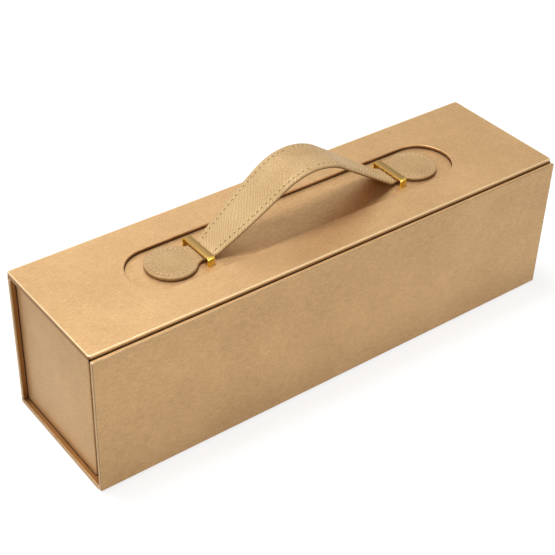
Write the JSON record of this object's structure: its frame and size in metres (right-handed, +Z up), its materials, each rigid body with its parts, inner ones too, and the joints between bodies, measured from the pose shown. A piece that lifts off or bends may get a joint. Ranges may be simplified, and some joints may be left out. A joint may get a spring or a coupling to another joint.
{
  "type": "magnetic wine box",
  "caption": "Rigid wrapped box for one lying wine bottle, with a hinged lid, a front flap held by magnets and a padded strap handle sliding in brass loops.",
  "frame": {"origin": "centre of the box's footprint, on the surface it stands on", "axes": "+X along the box's length, +Z up, the front flap faces -Y and the lid's hinge is at the back"},
  "size_m": [0.35, 0.095, 0.1405],
  "materials": {
    "gold_board": "satin",
    "gold_paper": "satin",
    "lining_paper": "matte",
    "brass": "polished",
    "strap_leather": "satin",
    "flocked_foam": "matte",
    "magnet": "polished"
  },
  "bodies": {
    "case": {"bottom_board": "gold_board", "back_board": "gold_board", "back_crease_paper": "gold_paper", "tray_floor": "gold_board", "tray_left_end": "gold_board", "tray_right_end": "gold_board", "tray_back_wall": "gold_board", "tray_front_wall": "gold_board", "tray_magnets": "magnet", "tray_wrap_paper": "gold_paper", "tray_lining": "lining_paper", "bottle_bed_foam": "flocked_foam", "neck_rest_foam": "flocked_foam", "lid_hinge_paper": "gold_paper"},
    "lid": {"lid_base_board": "gold_board", "lid_top_board": "gold_board", "recess_liner_paper": "gold_paper", "lid_liner_paper": "lining_paper", "left_brass_loop": "brass", "right_brass_loop": "brass", "left_strap_flank": "strap_leather", "right_strap_flank": "strap_leather", "flap_hinge_paper": "gold_paper"},
    "flap": {"flap_board": "gold_board", "flap_liner_paper": "lining_paper", "magnet_bar": "gold_board", "flap_magnets": "magnet", "magnet_bar_facing_paper": "gold_paper"},
    "grip": {"strap_crown": "strap_leather"},
    "left_tab": {"left_strap_tab": "strap_leather"},
    "right_tab": {"right_strap_tab": "strap_leather"}
  },
  "joints": [
    {"name": "lid_hinge", "type": "hinge", "parent": "case", "child": "lid", "pos_m": [0, 0.0475, 0.0956], "axis": [-1, 0, 0], "range_deg": [0, 120], "deforming": ["lid_hinge_paper"]},
    {"name": "flap_hinge", "type": "hinge", "parent": "lid", "child": "flap", "pos_m": [0, -0.045, 0.0968], "axis": [-1, 0, 0], "range_deg": [0, 90], "deforming": ["flap_hinge_paper"]},
    {"name": "handle_press", "type": "slide", "parent": "lid", "child": "grip", "axis": [0, 0, -1], "range_m": [0, 0.035], "deforming": ["left_strap_flank", "right_strap_flank"]},
    {"name": "left_tab_slide", "type": "slide", "parent": "lid", "child": "left_tab", "axis": [-1, 0, 0], "range_m": [0, 0.0116]},
    {"name": "right_tab_slide", "type": "slide", "parent": "lid", "child": "right_tab", "axis": [1, 0, 0], "range_m": [0, 0.0116]}
  ],
  "couplings": [
    {"joint": "left_tab_slide", "follows": "handle_press", "ratio": 0.33},
    {"joint": "right_tab_slide", "follows": "handle_press", "ratio": 0.33}
  ]
}
